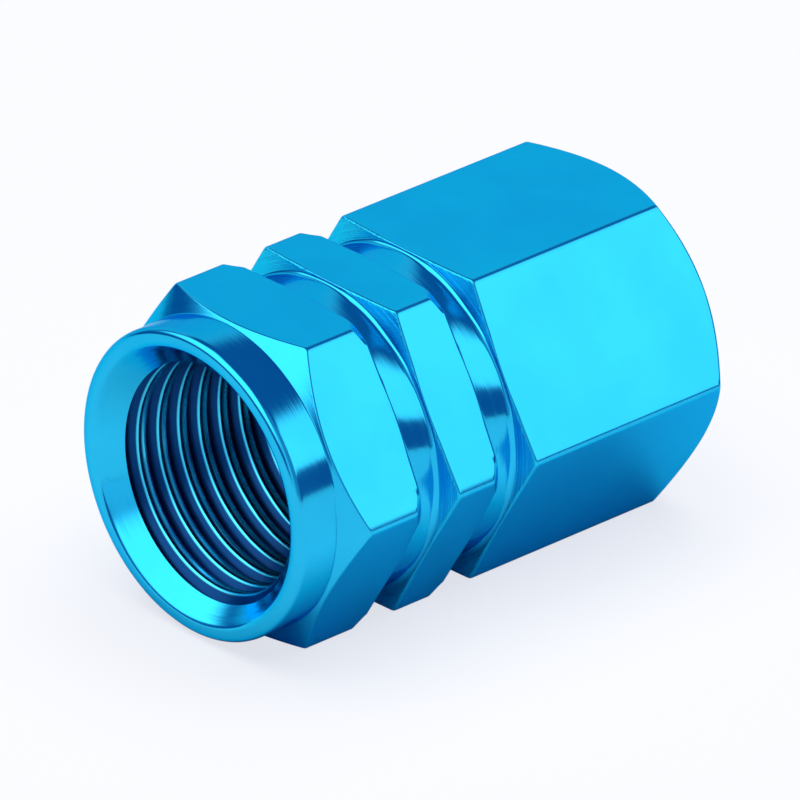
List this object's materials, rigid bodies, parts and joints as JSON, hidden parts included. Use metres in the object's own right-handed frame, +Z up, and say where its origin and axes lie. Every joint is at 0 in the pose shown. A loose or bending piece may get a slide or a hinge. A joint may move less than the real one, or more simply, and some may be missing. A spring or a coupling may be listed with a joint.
{
  "type": "tyre valve cap",
  "caption": "Hexagonal tyre valve cap in polished blue metal, with a round collar, turned grooves, a chamfered closed end and a threaded mouth; it lies on a flat.",
  "frame": {"origin": "under the middle of the cap, on the surface that it lies on", "axes": "+Z up, +Y along the cap's axis towards the closed end, so the threaded mouth faces -Y; the hexagon's corners point along X and a flat lies underneath"},
  "size_m": [0.0112, 0.0164, 0.0098],
  "materials": {
    "anodised_metal": "polished and anodised blue"
  },
  "bodies": {
    "root": {"cap_body": "anodised_metal"}
  },
  "joints": []
}
